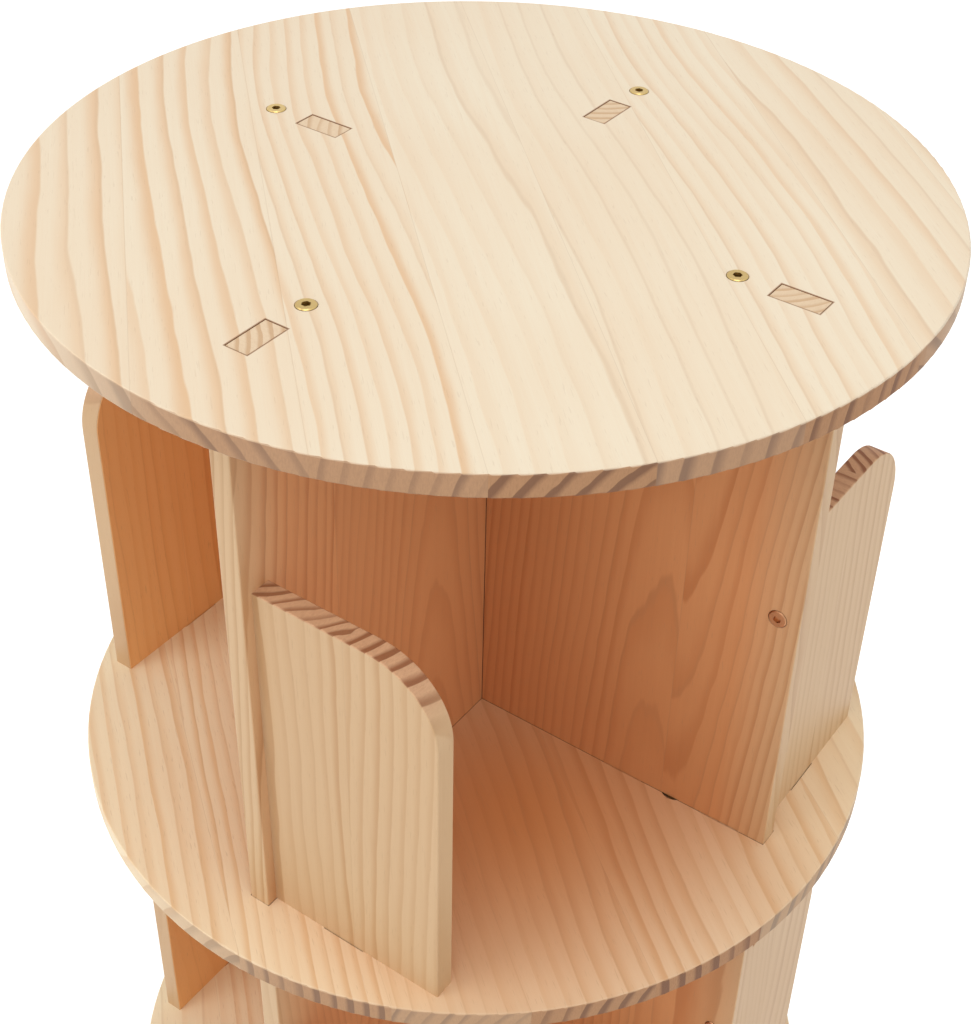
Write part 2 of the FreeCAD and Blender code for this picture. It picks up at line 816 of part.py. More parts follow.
# Checks before anything is written
for item in doc.Objects:
    if "Invalid" in item.State or "Error" in item.State:
        raise ValueError("%s failed" % item.Label)
for item in SUBPARTS:
    if item.Shape.isNull() or not item.Shape.isValid():
        raise ValueError("%s has no valid shape" % item.Label)

os.makedirs("parts", exist_ok=True)
for item in SUBPARTS:
    item.Shape.exportStep("parts/%s.step" % item.Label)
    print(item.Label, len(item.Shape.Solids), round(item.Shape.Volume, 1))
print(len(SUBPARTS), "nodes")
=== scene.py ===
import math

import bpy
from mathutils import Matrix, Vector


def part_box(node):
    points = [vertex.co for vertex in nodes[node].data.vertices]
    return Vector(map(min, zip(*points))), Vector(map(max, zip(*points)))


# Revolving bookcase in oiled, edge-glued pine, metres, +Z up.
# All pieces come with the frame. This script gives them their finishes and
# sets up the studio.

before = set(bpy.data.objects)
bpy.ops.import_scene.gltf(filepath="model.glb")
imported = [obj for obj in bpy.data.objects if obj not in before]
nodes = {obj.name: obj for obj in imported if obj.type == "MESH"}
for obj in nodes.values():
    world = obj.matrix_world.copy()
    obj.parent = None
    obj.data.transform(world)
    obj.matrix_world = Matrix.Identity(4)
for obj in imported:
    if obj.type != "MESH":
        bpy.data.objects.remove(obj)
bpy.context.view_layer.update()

TIERS = ("lower_tier", "middle_tier", "upper_tier")
DISCS = ("bottom_disc", "lower_shelf_disc", "upper_shelf_disc", "top_disc")
SIDES = ("right", "back", "left", "front")

# Colours, as linear red, green and blue
CREAM = (0.845, 0.735, 0.560)
CREAM_STREAK = (0.74, 0.475, 0.265)
TAN = (0.93, 0.82, 0.59)
TAN_STREAK = (0.74, 0.455, 0.215)
# Painted shade for the middle of the shelf discs, under the disc above
PAINTED_CENTRE_SHADE = (0.62, 0.275, 0.105)
PAINTED_CENTRE_SHADE_STREAK = (0.49, 0.190, 0.068)
SAND = (0.655, 0.455, 0.265)
SAND_STREAK = (0.49, 0.270, 0.118)
# Painted warm bounce light and shade for the board faces inside the bays
PAINTED_BAY_AMBER = (0.715, 0.340, 0.146)
PAINTED_BAY_AMBER_STREAK = (0.50, 0.186, 0.068)
# Painted warm bounce light for the panel faces towards the axis
PAINTED_BAY_GLOW = (0.95, 0.59, 0.26)
PAINTED_BAY_GLOW_STREAK = (0.82, 0.41, 0.15)
RIM_PINK = (0.43, 0.225, 0.110)
RIM_BROWN = (0.205, 0.092, 0.045)
TENON_PALE = (0.78, 0.60, 0.41)
TENON_BROWN = (0.62, 0.41, 0.24)
CROWN_PINK = (0.63, 0.37, 0.215)
CROWN_BROWN = (0.275, 0.098, 0.040)
CANAL_BROWN = (0.40, 0.235, 0.125)
# Painted shade for the inner corners where boards meet boards and discs
PAINTED_CREASE_SHADE = (0.085, 0.040, 0.020)
ARRIS_BROWN = (0.30, 0.15, 0.07)
# Painted shade for bolt heads below their top, in the counterbore
PAINTED_RECESS_SHADE = (0.060, 0.035, 0.016)
COPPER_ZINC = (0.56, 0.29, 0.15)
COPPER_SHADE = (0.22, 0.10, 0.05)
YELLOW_ZINC = (0.74, 0.53, 0.21)
ZINC_SHADE = (0.40, 0.28, 0.11)
SCREW_GREY = (0.46, 0.47, 0.48)
SCREW_SHADE = (0.22, 0.22, 0.23)
RING_ALUMINIUM = (0.63, 0.64, 0.65)
ALUMINIUM_SHADE = (0.42, 0.43, 0.45)
BALL_CHROME = (0.72, 0.72, 0.74)
CHROME_SHADE = (0.55, 0.55, 0.57)
CAGE_NYLON = (0.72, 0.69, 0.62)
NYLON_SHADE = (0.60, 0.57, 0.50)
FOOT_RUBBER = (0.028, 0.028, 0.029)
RUBBER_DUST = (0.075, 0.073, 0.070)


class Graph:
    """Adds nodes to one node tree and links them."""

    def __init__(self, tree):
        self.tree = tree

    def add(self, kind, **settings):
        node = self.tree.nodes.new(kind)
        for name, value in settings.items():
            setattr(node, name, value)
        return node

    def join(self, source, target):
        self.tree.links.new(source, target)

    def feed(self, socket, value):
        """Link a socket to an output, or set it to a plain value."""
        if isinstance(value, bpy.types.NodeSocket):
            self.join(value, socket)
        else:
            socket.default_value = value

    def math(self, operation, first, second=0.0, clamp=False):
        node = self.add("ShaderNodeMath", operation=operation, use_clamp=clamp)
        self.feed(node.inputs[0], first)
        self.feed(node.inputs[1], second)
        return node.outputs[0]

    def plus(self, first, second):
        return self.math("ADD", first, second)

    def minus(self, first, second):
        return self.math("SUBTRACT", first, second)

    def times(self, first, second):
        return self.math("MULTIPLY", first, second)

    def unsigned(self, value):
        return self.math("ABSOLUTE", value)

    def length(self, first, second):
        squares = self.plus(self.times(first, first), self.times(second, second))
        return self.math("SQRT", squares)

    def vector(self, x, y, z):
        node = self.add("ShaderNodeCombineXYZ")
        for socket, value in zip(node.inputs, (x, y, z)):
            self.feed(socket, value)
        return node.outputs[0]

    def parts(self, vector):
        node = self.add("ShaderNodeSeparateXYZ")
        self.join(vector, node.inputs[0])
        return node.outputs[0], node.outputs[1], node.outputs[2]

    def stretch(self, vector, scale):
        node = self.add("ShaderNodeVectorMath", operation="MULTIPLY")
        self.join(vector, node.inputs[0])
        self.feed(node.inputs[1], scale)
        return node.outputs[0]

    def shift(self, vector, move):
        node = self.add("ShaderNodeVectorMath", operation="ADD")
        self.join(vector, node.inputs[0])
        self.feed(node.inputs[1], move)
        return node.outputs[0]

    def noise(self, vector, scale=1.0, detail=2.0, roughness=0.5, distortion=0.0):
        node = self.add("ShaderNodeTexNoise", noise_dimensions="3D")
        self.join(vector, node.inputs["Vector"])
        self.feed(node.inputs["Scale"], scale)
        self.feed(node.inputs["Detail"], detail)
        self.feed(node.inputs["Roughness"], roughness)
        self.feed(node.inputs["Distortion"], distortion)
        return node.outputs["Fac"]

    def chance(self, value):
        """Three random numbers from one number."""
        node = self.add("ShaderNodeTexWhiteNoise", noise_dimensions="1D")
        self.feed(node.inputs["W"], value)
        return self.parts(node.outputs["Color"])

    def span(self, value, low, high, new_low=0.0, new_high=1.0, smooth=False):
        """Carry a range of values over to another range, and hold it there."""
        kind = "SMOOTHSTEP" if smooth else "LINEAR"
        node = self.add("ShaderNodeMapRange", interpolation_type=kind)
        inputs = ("Value", "From Min", "From Max", "To Min", "To Max")
        for name, number in zip(inputs, (value, low, high, new_low, new_high)):
            self.feed(node.inputs[name], number)
        return node.outputs["Result"]

    def blend(self, amount, first, second):
        """Mix two colours, each a socket or a plain colour."""
        node = self.add("ShaderNodeMix", data_type="RGBA")
        self.feed(node.inputs["Factor"], amount)
        sockets = [item for item in node.inputs if item.type == "RGBA"]
        for socket, value in zip(sockets, (first, second)):
            if isinstance(value, tuple):
                value = value + (1.0,)
            self.feed(socket, value)
        return [item for item in node.outputs if item.type == "RGBA"][0]

    def bump(self, height, strength, distance):
        node = self.add("ShaderNodeBump")
        self.join(height, node.inputs["Height"])
        node.inputs["Strength"].default_value = strength
        node.inputs["Distance"].default_value = distance
        return node.outputs["Normal"]


FLOAT = "NodeSocketFloat"
VECTOR = "NodeSocketVector"


def new_group(name, inputs, outputs):
    """A shader node group with named sockets, and a graph to fill it."""
    tree = bpy.data.node_groups.new(name, "ShaderNodeTree")
    for title, kind, value in inputs:
        socket = tree.interface.new_socket(title, in_out="INPUT", socket_type=kind)
        if value is not None:
            socket.default_value = value
    for title in outputs:
        tree.interface.new_socket(title, in_out="OUTPUT", socket_type=FLOAT)
    graph = Graph(tree)
    entry = graph.add("NodeGroupInput")
    leave = graph.add("NodeGroupOutput")
    return graph, entry.outputs, leave.inputs


# Fine lines: cells of each noise per metre across, along and through the grain
BROAD_FIBRES = (420.0, 7.0, 420.0)
FINE_FIBRES = (1700.0, 24.0, 1700.0)
RESIN_CANALS = (2100.0, 130.0, 2100.0)
END_PORES = (1500.0, 300.0, 420.0)
BROAD_SHARE = 0.55
FINE_SHARE = 0.45
FIBRE_LIMITS = (0.32, 0.68)
CANAL_LIMITS = (0.73, 0.82)
PORE_LIMITS = (0.40, 0.70)


def grain_lines_group():
    """Fibres and resin canals along Y, and the pores of end grain."""
    graph, given, result = new_group(
        "grain lines",
        [("Place", VECTOR, None), ("Seed", FLOAT, 0.0)],
        ["Fibres", "Canals", "Pores"],
    )
    moved = graph.shift(given["Place"], graph.vector(given["Seed"], given["Seed"], 0.0))
    broad = graph.noise(graph.stretch(moved, BROAD_FIBRES), detail=3.0, roughness=0.6)
    fine = graph.noise(graph.stretch(moved, FINE_FIBRES), roughness=0.6)
    mixed = graph.plus(graph.times(broad, BROAD_SHARE), graph.times(fine, FINE_SHARE))
    graph.join(graph.span(mixed, *FIBRE_LIMITS), result["Fibres"])
    flecks = graph.noise(graph.stretch(moved, RESIN_CANALS), detail=0.0)
    graph.join(graph.span(flecks, *CANAL_LIMITS, smooth=True), result["Canals"])
    pores = graph.noise(graph.stretch(moved, END_PORES), roughness=0.7)
    graph.join(graph.span(pores, *PORE_LIMITS), result["Pores"])
    return graph.tree


# Yearly rings: sizes in metres, and cells per metre for their sway and ripple
STRIP_WIDTH = 0.066
RING_SPACING = 0.0095
PITH_SIDE = 0.05
PITH_SIDE_SPREAD = 0.07
PITH_DEPTH = 0.06
TAPER = 0.02
SWAY = 0.050
SWAY_ALONG = 2.4
SWAY_ACROSS = 1.6
RIPPLE = 0.007
RIPPLE_ALONG = 7.5
RIPPLE_ACROSS = 42.0
# Steps that give each piece, strip and ring random numbers of its own
PIECE_STEP = 17.31
DRIFT_STEP = 3.1
SECOND_DRAW = 5.37
THIRD_DRAW = 9.73
RING_STEP = 2.7
RING_STARTS = 7.0
# How a ring darkens over its width, and how rings and strips differ
LATE_RISE = (0.25, 0.88)
LATE_FALL = (0.92, 1.0)
LATE_CURVE = 1.5
PENCIL_RISE = (0.80, 0.90)
PENCIL_DRAW = (0.35, 1.0)
SPACING_RANGE = (0.75, 1.3)
RING_STRENGTH = (0.30, 1.0)
STRIP_STRENGTH = (0.40, 1.0)
JOINT_EDGE = (0.4970, 0.4995)


def ring_waves(graph, given, key, x, y):
    """How far the rings sway along the grain, and their small ripple."""
    drift = graph.vector(graph.times(given["Seed"], DRIFT_STEP),
                         graph.times(y, SWAY_ALONG), graph.times(x, SWAY_ACROSS))
    sway = graph.minus(graph.noise(drift, detail=1.0, roughness=0.4), 0.5)
    sway = graph.times(graph.times(sway, SWAY), given["Waviness"])
    small = graph.vector(graph.times(x, RIPPLE_ACROSS), graph.times(y, RIPPLE_ALONG), key)
    ripple = graph.minus(graph.noise(small, detail=3.0, roughness=0.55), 0.5)
    return sway, graph.times(graph.times(ripple, RIPPLE), given["Waviness"])


def growth_rings_group():
    """Yearly rings of edge-glued strips; X runs across the strips, Y along the grain."""
    graph, given, result = new_group(
        "growth rings",
        [("Place", VECTOR, None), ("Seed", FLOAT, 0.0), ("Strip Width", FLOAT, STRIP_WIDTH),
         ("Ring Spacing", FLOAT, RING_SPACING), ("Pith Side", FLOAT, PITH_SIDE),
         ("Pith Depth", FLOAT, PITH_DEPTH), ("Waviness", FLOAT, 1.0), ("Taper", FLOAT, TAPER)],
        ["Latewood", "Pencil", "Strip Tone", "Joint"],
    )
    x, y, z = graph.parts(given["Place"])
    strip = graph.math("DIVIDE", x, given["Strip Width"])
    within = graph.minus(graph.math("FRACT", strip), 0.5)
    local = graph.times(within, given["Strip Width"])
    key = graph.plus(graph.math("FLOOR", strip), graph.times(given["Seed"], PIECE_STEP))
    which, deep, tone = graph.chance(key)
    narrowing, pace, start = graph.chance(graph.plus(key, SECOND_DRAW))
    force, curl = graph.chance(graph.plus(key, THIRD_DRAW))[:2]

    # The pith lies beside and below the strip, on either hand
    hand = graph.minus(graph.times(graph.math("GREATER_THAN", which, 0.5), 2.0), 1.0)
    aside = graph.plus(given["Pith Side"], graph.times(curl, PITH_SIDE_SPREAD))
    aside = graph.times(aside, hand)
    below = graph.times(given["Pith Depth"], deep)

    sway, ripple = ring_waves(graph, given, key, x, y)
    reach = graph.length(graph.plus(graph.minus(local, aside), sway), graph.plus(z, below))
    cone = graph.times(graph.span(narrowing, 0.0, 1.0, -1.0, 1.0), given["Taper"])
    reach = graph.plus(reach, graph.times(y, cone))
    reach = graph.plus(reach, ripple)
    spacing = graph.times(given["Ring Spacing"], graph.span(pace, 0.0, 1.0, *SPACING_RANGE))
    rings = graph.plus(graph.math("DIVIDE", reach, spacing), graph.times(start, RING_STARTS))
    phase = graph.math("FRACT", rings)
    ring_key = graph.plus(graph.math("FLOOR", rings), graph.times(key, RING_STEP))
    strong, _, thin = graph.chance(ring_key)

    rise = graph.span(phase, *LATE_RISE, smooth=True)
    fall = graph.span(phase, *LATE_FALL, 1.0, 0.0, smooth=True)
    late = graph.times(graph.math("POWER", rise, LATE_CURVE), fall)
    late = graph.times(late, graph.span(strong, 0.0, 1.0, *RING_STRENGTH))
    late = graph.times(late, graph.span(force, 0.0, 1.0, *STRIP_STRENGTH))
    graph.join(late, result["Latewood"])
    pencil = graph.times(graph.span(phase, *PENCIL_RISE, smooth=True), fall)
    graph.join(graph.times(pencil, graph.span(thin, *PENCIL_DRAW)), result["Pencil"])
    graph.join(tone, result["Strip Tone"])
    graph.join(graph.span(graph.unsigned(within), *JOINT_EDGE), result["Joint"])
    return graph.tree


# Handling marks: cells of each noise per metre
STAIN_CELLS = 7.0
MARK_CELLS = 150.0
FINE_CELLS = 1300.0
MARK_LIMITS = (0.60, 0.78)


def handling_marks_group():
    """Slow stains and small handling marks, the same along and across the piece."""
    graph, given, result = new_group(
        "handling marks",
        [("Place", VECTOR, None), ("Seed", FLOAT, 0.0)],
        ["Stain", "Marks", "Fine"],
    )
    moved = graph.shift(given["Place"], graph.vector(0.0, given["Seed"], given["Seed"]))
    graph.join(graph.noise(moved, STAIN_CELLS), result["Stain"])
    marks = graph.noise(moved, MARK_CELLS, detail=3.0, roughness=0.65, distortion=0.4)
    graph.join(graph.span(marks, *MARK_LIMITS), result["Marks"])
    graph.join(graph.noise(moved, FINE_CELLS, roughness=0.6), result["Fine"])
    return graph.tree


GRAIN_LINES = grain_lines_group()
GROWTH_RINGS = growth_rings_group()
HANDLING_MARKS = handling_marks_group()


def new_material(name):
    material = bpy.data.materials.new(name)
    material.use_nodes = True
    graph = Graph(material.node_tree)
    shader = [node for node in graph.tree.nodes if node.type == "BSDF_PRINCIPLED"][0]
    return material, graph, shader


def use_group(graph, tree, **values):
    node = graph.add("ShaderNodeGroup", node_tree=tree)
    for name, value in values.items():
        graph.feed(node.inputs[name.replace("_", " ")], value)
    return node.outputs


def dress(node, material):
    """Give a piece of the frame its finish."""
    mesh = nodes[node].data
    mesh.materials.clear()
    mesh.materials.append(material)


def middle(node):
    low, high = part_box(node)
    return (low + high) / 2


# Turns that bring the grain frame onto a piece: X across the strips, Y along
# the grain, Z through the thickness
ALONG_UPRIGHT = (math.radians(90), 0.0, 0.0)
ALONG_UPRIGHT_TURNED = (math.radians(90), 0.0, math.radians(90))


def grain_place(graph, centre, turns):
    """Place and facing on a piece, in the grain frame."""
    coordinates = graph.add("ShaderNodeTexCoord")
    place = graph.add("ShaderNodeMapping", vector_type="TEXTURE")
    graph.join(coordinates.outputs["Object"], place.inputs["Vector"])
    place.inputs["Location"].default_value = centre
    place.inputs["Rotation"].default_value = turns
    facing = graph.add("ShaderNodeMapping", vector_type="TEXTURE")
    graph.join(coordinates.outputs["Normal"], facing.inputs["Vector"])
    facing.inputs["Rotation"].default_value = turns
    return place.outputs["Vector"], facing.outputs["Vector"]


def plan_place(graph):
    """Place on the floor plan, from the axis of the bookcase."""
    coordinates = graph.add("ShaderNodeTexCoord")
    return graph.parts(coordinates.outputs["Object"])[:2]


# Thin dark lines where pieces meet: a dark joint round the tenons of the top, and painted shade
# in the inner corners where boards meet each other and the discs
SEAM_WIDTH = 0.0005
BOARD_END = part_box("upper_tier_board_slot_down")[1].x
SEAM_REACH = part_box("upper_tier_board_slot_down")[1].y + SEAM_WIDTH
SEAM_BLUR = 0.0003
SEAM_SHARE = 0.85
TENON_OUTER = 0.169
TENON_INNER = -0.105
TENON_HALF = 0.0132


def crossing_painted_shade(graph, place):
    """Painted shade in the inner corner where the other board of a tier meets this one's faces.
    """
    x = graph.unsigned(graph.parts(place)[0])
    return graph.span(x, SEAM_REACH - SEAM_BLUR, SEAM_REACH, 1.0, 0.0)


def footprint_painted_shade(graph, place):
    """Painted shade round the feet of the two boards on a disc."""
    x, y = [graph.unsigned(value) for value in plan_place(graph)]
    lines = []
    for along, across in ((x, y), (y, x)):
        end = graph.span(along, BOARD_END, BOARD_END + SEAM_BLUR, 1.0, 0.0)
        side = graph.span(across, SEAM_REACH - SEAM_BLUR, SEAM_REACH, 1.0, 0.0)
        lines.append(graph.times(end, side))
    return graph.math("MAXIMUM", *lines)


def tenon_seam(graph, place):
    """The dark arris round the four through tenons of the top."""
    x, y = plan_place(graph)
    back = graph.times(y, -1.0)
    seam_line_and_shade = 0.0
    for along, across in ((x, y), (back, x)):
        side = graph.span(graph.unsigned(across), SEAM_REACH + SEAM_BLUR,
                          SEAM_REACH + 2 * SEAM_BLUR, 1.0, 0.0)
        for centre in (TENON_OUTER, TENON_INNER):
            reach = graph.unsigned(graph.minus(along, centre))
            end = graph.span(reach, TENON_HALF, TENON_HALF + SEAM_BLUR, 1.0, 0.0)
            seam_line_and_shade = graph.math("MAXIMUM", seam_line_and_shade, graph.times(end, side))
    return seam_line_and_shade


# Where one wood colour gives way to another, and where painted bay light and painted shade fall
BOTH_FACES = "both faces"
UPPER_FACE = "upper face"
LOWER_FACE = "lower face"
FACE_TURN = (0.55, 0.85)
END_GRAIN_TURN = (0.25, 0.80)
# The painted bay light fades from here to the board ends
PAINTED_BAY_LIGHT_FROM = 0.165
PAINTED_BAY_LIGHT_AT_END = 0.25
# Middle and reach of the painted shade on the shelf discs
PAINTED_SHADE_CENTRE = (0.075, -0.065)
PAINTED_SHADE_REACH = 0.245
BOLD_RINGS = 2.1
OUTER_RINGS = 0.4
FEW_RINGS = 0.30
RIGHT_RINGS = 0.80


def inner_share(graph, place, facing, faces):
    """Share of painted bay light: one on the broad faces named, less at the outer ends, zero
    elsewhere.
    """
    z = graph.parts(facing)[2]
    if faces == BOTH_FACES:
        z = graph.unsigned(z)
    elif faces == LOWER_FACE:
        z = graph.times(z, -1.0)
    outwards = graph.unsigned(graph.parts(place)[0])
    fading = graph.span(outwards, PAINTED_BAY_LIGHT_FROM, BOARD_END, 1.0, PAINTED_BAY_LIGHT_AT_END)
    return graph.times(graph.span(z, *FACE_TURN, smooth=True), fading)


def painted_shade_reach(graph):
    """Zero in the middle of the painted shade of a shelf disc and one near the rim."""
    x, y = plan_place(graph)
    reach = graph.length(graph.minus(x, PAINTED_SHADE_CENTRE[0]), graph.minus(y, PAINTED_SHADE_CENTRE[1]))
    return graph.span(reach, 0.0, PAINTED_SHADE_REACH, smooth=True)


def at_joint(graph, x, strips, below, above):
    """A value that changes at a joint between strips."""
    joint = strips * STRIP_WIDTH
    return graph.span(x, joint - SEAM_BLUR, joint + SEAM_BLUR, below, above)


def top_contrast(graph, place):
    """Bold rings on the strips left of the middle, fine ones right of it, few between."""
    x = graph.parts(place)[0]
    left = graph.times(at_joint(graph, x, 1, FEW_RINGS, BOLD_RINGS),
                       at_joint(graph, x, 3, 1.0, OUTER_RINGS))
    return graph.math("MAXIMUM", left, at_joint(graph, x, -1, RIGHT_RINGS, FEW_RINGS))


# Settings that a kind of pine starts from, with the painted shade colour for inner corners as the
# seam colour
PINE = {
    "strip_width": STRIP_WIDTH, "ring_spacing": RING_SPACING, "pith_side": PITH_SIDE,
    "pith_depth": PITH_DEPTH, "waviness": 1.0, "taper": TAPER, "contrast": 1.0,
    "bold_left": False, "pencil": 0.18, "tone": 0.22, "canals": 0.22, "inner": None,
    "painted_bay_colours": None, "painted_centre_shade": None, "seam_line_and_shade": None, "seam_line_and_shade_colour": PAINTED_CREASE_SHADE,
}
# Shares of the marks in the colour
FIBRE_SHARE = 0.14
STAIN_LIMITS = (0.35, 0.75)
STAIN_SHARE = 0.14
END_RING_LIMITS = (0.05, 0.45)
END_PORE_SHARE = 0.22
END_TONE_SHARE = 0.20
JOINT_SHARE = 0.22
# Sheen and relief of oiled pine
OILED_ROUGHNESS = (0.46, 0.54)
END_GRAIN_ROUGHER = 0.18
LATEWOOD_SMOOTHER = 0.07
LATEWOOD_HEIGHT = 0.30
FIBRE_DEPTH = 0.25
CANAL_DEPTH = 0.35
PORE_DEPTH = 0.6
JOINT_DEPTH = 0.5
WOOD_BUMP = 0.35
WOOD_RELIEF = 0.00025
WOOD_SPECULAR = 0.30


def face_colour(graph, place, facing, rings, lines, marks, looks):
    """Colour of the broad faces and long edges."""
    pale, streak = looks["pale"], looks["streak"]
    # Painted warm bay light on the faces towards the axis
    if looks["inner"]:
        inner = inner_share(graph, place, facing, looks["inner"])
        pale = graph.blend(inner, pale, looks["painted_bay_colours"][0])
        streak = graph.blend(inner, streak, looks["painted_bay_colours"][1])
    # Painted shade in the middle of the shelf discs
    if looks["painted_centre_shade"]:
        reach = painted_shade_reach(graph)
        pale = graph.blend(reach, looks["painted_centre_shade"][0], pale)
        streak = graph.blend(reach, looks["painted_centre_shade"][1], streak)
    contrast = top_contrast(graph, place) if looks["bold_left"] else looks["contrast"]
    face = graph.blend(graph.times(rings["Latewood"], contrast), pale, streak)
    face = graph.blend(graph.times(rings["Pencil"], looks["pencil"]), face, CANAL_BROWN)
    face = graph.blend(graph.times(rings["Strip Tone"], looks["tone"]), face, streak)
    face = graph.blend(graph.times(lines["Fibres"], FIBRE_SHARE), face, streak)
    face = graph.blend(graph.times(lines["Canals"], looks["canals"]), face, CANAL_BROWN)
    stained = graph.span(marks["Stain"], *STAIN_LIMITS, 0.0, STAIN_SHARE)
    return graph.blend(stained, face, streak)


def end_colour(graph, rings, lines, looks):
    """Colour of rims, crowns and tenon ends."""
    ground, brown = looks["end"]
    end = graph.blend(graph.span(rings["Latewood"], *END_RING_LIMITS), ground, brown)
    end = graph.blend(graph.times(lines["Pores"], END_PORE_SHARE), end, brown)
    return graph.blend(graph.times(rings["Strip Tone"], END_TONE_SHARE), end, looks["pale"])


def pine_roughness(graph, rings, marks, end_grain):
    rough = graph.plus(graph.span(marks["Marks"], 0.0, 1.0, *OILED_ROUGHNESS),
                       graph.times(end_grain, END_GRAIN_ROUGHER))
    return graph.minus(rough, graph.times(rings["Latewood"], LATEWOOD_SMOOTHER))


def pine_height(graph, rings, lines, end_grain):
    height = graph.minus(graph.times(rings["Latewood"], LATEWOOD_HEIGHT),
                         graph.times(lines["Fibres"], FIBRE_DEPTH))
    height = graph.minus(height, graph.times(lines["Canals"], CANAL_DEPTH))
    pores = graph.times(lines["Pores"], end_grain)
    height = graph.minus(height, graph.times(pores, PORE_DEPTH))
    return graph.minus(height, graph.times(rings["Joint"], JOINT_DEPTH))


def dress_in_pine(node, centre, turns, seed, looks):
    """Oiled pine for one piece: rings, fibres, strips and darker end grain."""
    material, graph, shader = new_material(node + "_pine")
    place, facing = grain_place(graph, centre, turns)
    rings = use_group(graph, GROWTH_RINGS, Place=place, Seed=seed,
                      Strip_Width=looks["strip_width"], Ring_Spacing=looks["ring_spacing"],
                      Pith_Side=looks["pith_side"], Pith_Depth=looks["pith_depth"],
                      Waviness=looks["waviness"], Taper=looks["taper"])
    lines = use_group(graph, GRAIN_LINES, Place=place, Seed=seed)
    marks = use_group(graph, HANDLING_MARKS, Place=place, Seed=seed)
    end_grain = graph.span(graph.unsigned(graph.parts(facing)[1]), *END_GRAIN_TURN, smooth=True)

    colour = graph.blend(end_grain, face_colour(graph, place, facing, rings, lines, marks, looks),
                         end_colour(graph, rings, lines, looks))
    colour = graph.blend(graph.times(rings["Joint"], JOINT_SHARE), colour, CANAL_BROWN)
    # Dark lines where pieces meet; on boards and shelves this is painted shade in the inner
    # corners
    if looks["seam_line_and_shade"]:
        seam_line_and_shade = graph.times(looks["seam_line_and_shade"](graph, place), SEAM_SHARE)
        colour = graph.blend(seam_line_and_shade, colour, looks["seam_line_and_shade_colour"])
    graph.join(colour, shader.inputs["Base Color"])
    graph.join(pine_roughness(graph, rings, marks, end_grain), shader.inputs["Roughness"])
    height = pine_height(graph, rings, lines, end_grain)
    graph.join(graph.bump(height, WOOD_BUMP, WOOD_RELIEF), shader.inputs["Normal"])
    shader.inputs["Specular IOR Level"].default_value = WOOD_SPECULAR
    shader.inputs["Metallic"].default_value = 0.0
    dress(node, material)


# Turn of each disc's grain frame, in degrees, and its seed
DISC_WOOD = {"bottom_disc": (-128, 3.0), "lower_shelf_disc": (-131, 4.7),
             "upper_shelf_disc": (-127, 6.4), "top_disc": (-134, 8.1)}
STRIP_START = 0.0237


def dress_discs():
    """Round discs with their grain across the floor plane."""
    # Shelf discs get painted shade in the middle and round the board feet
    shelf = dict(PINE, pale=TAN, streak=TAN_STREAK, end=(RIM_PINK, RIM_BROWN), pith_side=0.06,
                 pith_depth=0.07, painted_centre_shade=(PAINTED_CENTRE_SHADE, PAINTED_CENTRE_SHADE_STREAK), seam_line_and_shade=footprint_painted_shade, contrast=0.70)
    top = dict(shelf, pale=CREAM, streak=CREAM_STREAK, painted_centre_shade=None, seam_line_and_shade=tenon_seam,
               seam_line_and_shade_colour=ARRIS_BROWN, bold_left=True, ring_spacing=0.0112, tone=0.12,
               canals=0.12)
    for disc in DISCS:
        turn, seed = DISC_WOOD[disc]
        spin = math.radians(turn)
        across = Matrix.Rotation(spin, 3, "Z") @ Vector((1.0, 0.0, 0.0))
        centre = Vector((0.0, 0.0, middle(disc).z)) - across * STRIP_START
        looks = top if disc == "top_disc" else shelf
        dress_in_pine(disc, tuple(centre), (0.0, 0.0, spin), seed, looks)


BOARD_SEED = 11.0
BOARD_TIER_STEP = 2.3
BOARD_TURNED_STEP = 0.9


def dress_boards():
    """Crossing boards, grain upright; one runs along X and one along Y."""
    # The faces get painted warm bounce light and shade, fading towards the outer ends
    looks = dict(PINE, pale=SAND, streak=SAND_STREAK, end=(TENON_PALE, TENON_BROWN),
                 inner=BOTH_FACES, painted_bay_colours=(PAINTED_BAY_AMBER, PAINTED_BAY_AMBER_STREAK), pith_side=0.0, pith_depth=0.06,
                 taper=0.11, waviness=0.8, ring_spacing=0.0050, strip_width=0.131,
                 seam_line_and_shade=crossing_painted_shade, contrast=0.95, pencil=0.30)
    for index, tier in enumerate(TIERS):
        seed = BOARD_SEED + index * BOARD_TIER_STEP
        lengthways = tier + "_board_slot_down"
        crossways = tier + "_board_slot_up"
        dress_in_pine(lengthways, tuple(middle(lengthways)), ALONG_UPRIGHT, seed, looks)
        dress_in_pine(crossways, tuple(middle(crossways)), ALONG_UPRIGHT_TURNED,
                      seed + BOARD_TURNED_STEP, looks)


INNER_FACE = {"right": LOWER_FACE, "back": UPPER_FACE, "left": UPPER_FACE, "front": LOWER_FACE}
PANEL_SEED = 21.0
PANEL_TIER_STEP = 4.1
PANEL_SIDE_STEP = 0.77


def dress_panels():
    """Arched panels, grain upright, with painted warm bounce light on the side towards the axis.
    """
    looks = dict(PINE, pale=SAND, streak=SAND_STREAK, end=(CROWN_PINK, CROWN_BROWN),
                 painted_bay_colours=(PAINTED_BAY_GLOW, PAINTED_BAY_GLOW_STREAK), pith_side=0.03, pith_depth=0.08, taper=0.05,
                 ring_spacing=0.0082, strip_width=0.070, contrast=0.85)
    for index, tier in enumerate(TIERS):
        for number, side in enumerate(SIDES):
            node = "%s_arched_panel_%s" % (tier, side)
            turns = ALONG_UPRIGHT_TURNED if side in ("right", "left") else ALONG_UPRIGHT
            seed = PANEL_SEED + index * PANEL_TIER_STEP + number * PANEL_SIDE_STEP
            dress_in_pine(node, tuple(middle(node)), turns, seed,
                          dict(looks, inner=INNER_FACE[side]))


